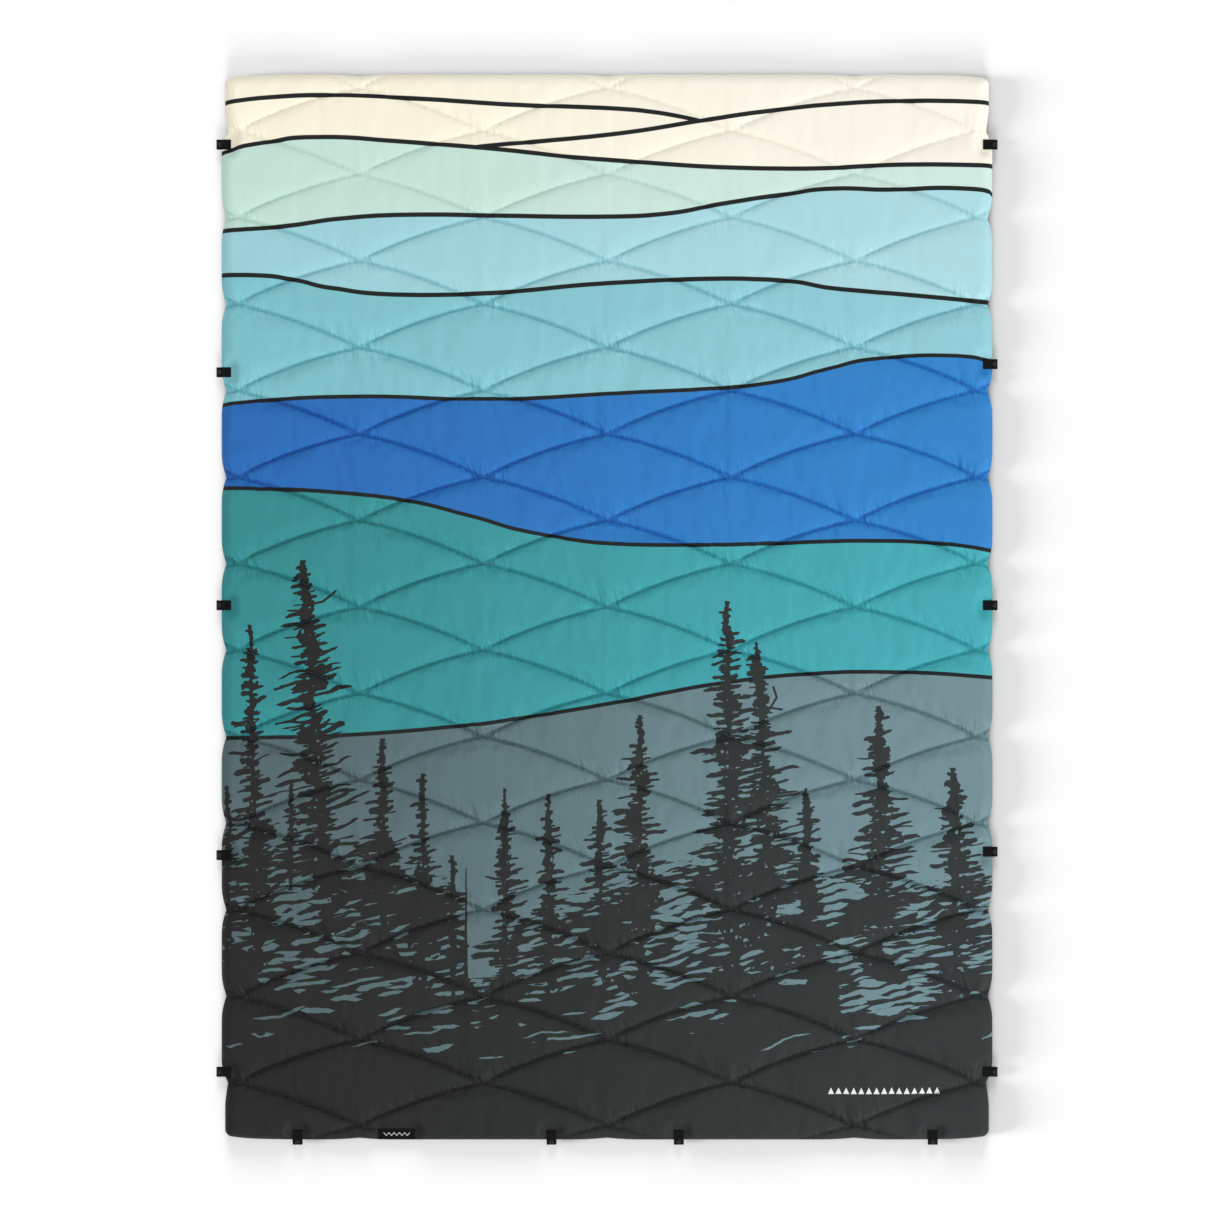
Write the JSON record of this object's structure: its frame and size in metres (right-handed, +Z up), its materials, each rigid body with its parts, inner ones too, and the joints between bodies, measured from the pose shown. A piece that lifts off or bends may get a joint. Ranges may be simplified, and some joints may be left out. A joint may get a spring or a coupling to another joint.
{
  "type": "camp blanket",
  "caption": "Puffy quilted camp blanket with a printed mountain landscape, webbing snap tabs round the hem, folding in half down its middle.",
  "frame": {"origin": "on the ground under the middle of the whole part, tabs included", "axes": "+X across the blanket to its right side seen from above, +Y to the top hem, +Z up from the ground through the printed face"},
  "size_m": [1.338, 1.833, 0.0245],
  "materials": {
    "face_cloth": "printed light ripstop, slight sheen",
    "back_cloth": "plain light ripstop, slight sheen",
    "batting": "matt fibre fill",
    "thread": "fine polyester thread",
    "webbing": "woven black webbing",
    "tack_thread": "close satin stitches",
    "snap_resin": "moulded acetal, fine matt",
    "label": "damask woven label with a pale woven device"
  },
  "bodies": {
    "left_half": {"face_shell_left": "face_cloth", "back_shell_left": "back_cloth", "batting_left": "batting", "quilting_thread_left": "thread", "seam_thread_left": "thread", "tab_left_1": "webbing", "tab_left_2": "webbing", "tab_left_3": "webbing", "tab_left_4": "webbing", "tab_left_5": "webbing", "tab_bottom_1": "webbing", "tab_bottom_2": "webbing", "snap_caps_left": "snap_resin", "snap_sockets": "snap_resin", "tab_tacks_left": "tack_thread", "woven_label": "label", "label_stitching": "tack_thread"},
    "right_half": {"face_shell_right": "face_cloth", "back_shell_right": "back_cloth", "batting_right": "batting", "quilting_thread_right": "thread", "seam_thread_right": "thread", "tab_right_1": "webbing", "tab_right_2": "webbing", "tab_right_3": "webbing", "tab_right_4": "webbing", "tab_right_5": "webbing", "tab_bottom_3": "webbing", "tab_bottom_4": "webbing", "snap_caps_right": "snap_resin", "snap_studs": "snap_resin", "tab_tacks_right": "tack_thread"}
  },
  "joints": [
    {"name": "fold_in_half", "type": "hinge", "parent": "left_half", "child": "right_half", "pos_m": [0, 0, 0.025], "axis": [0, -1, 0], "range_deg": [0, 179.5]}
  ]
}
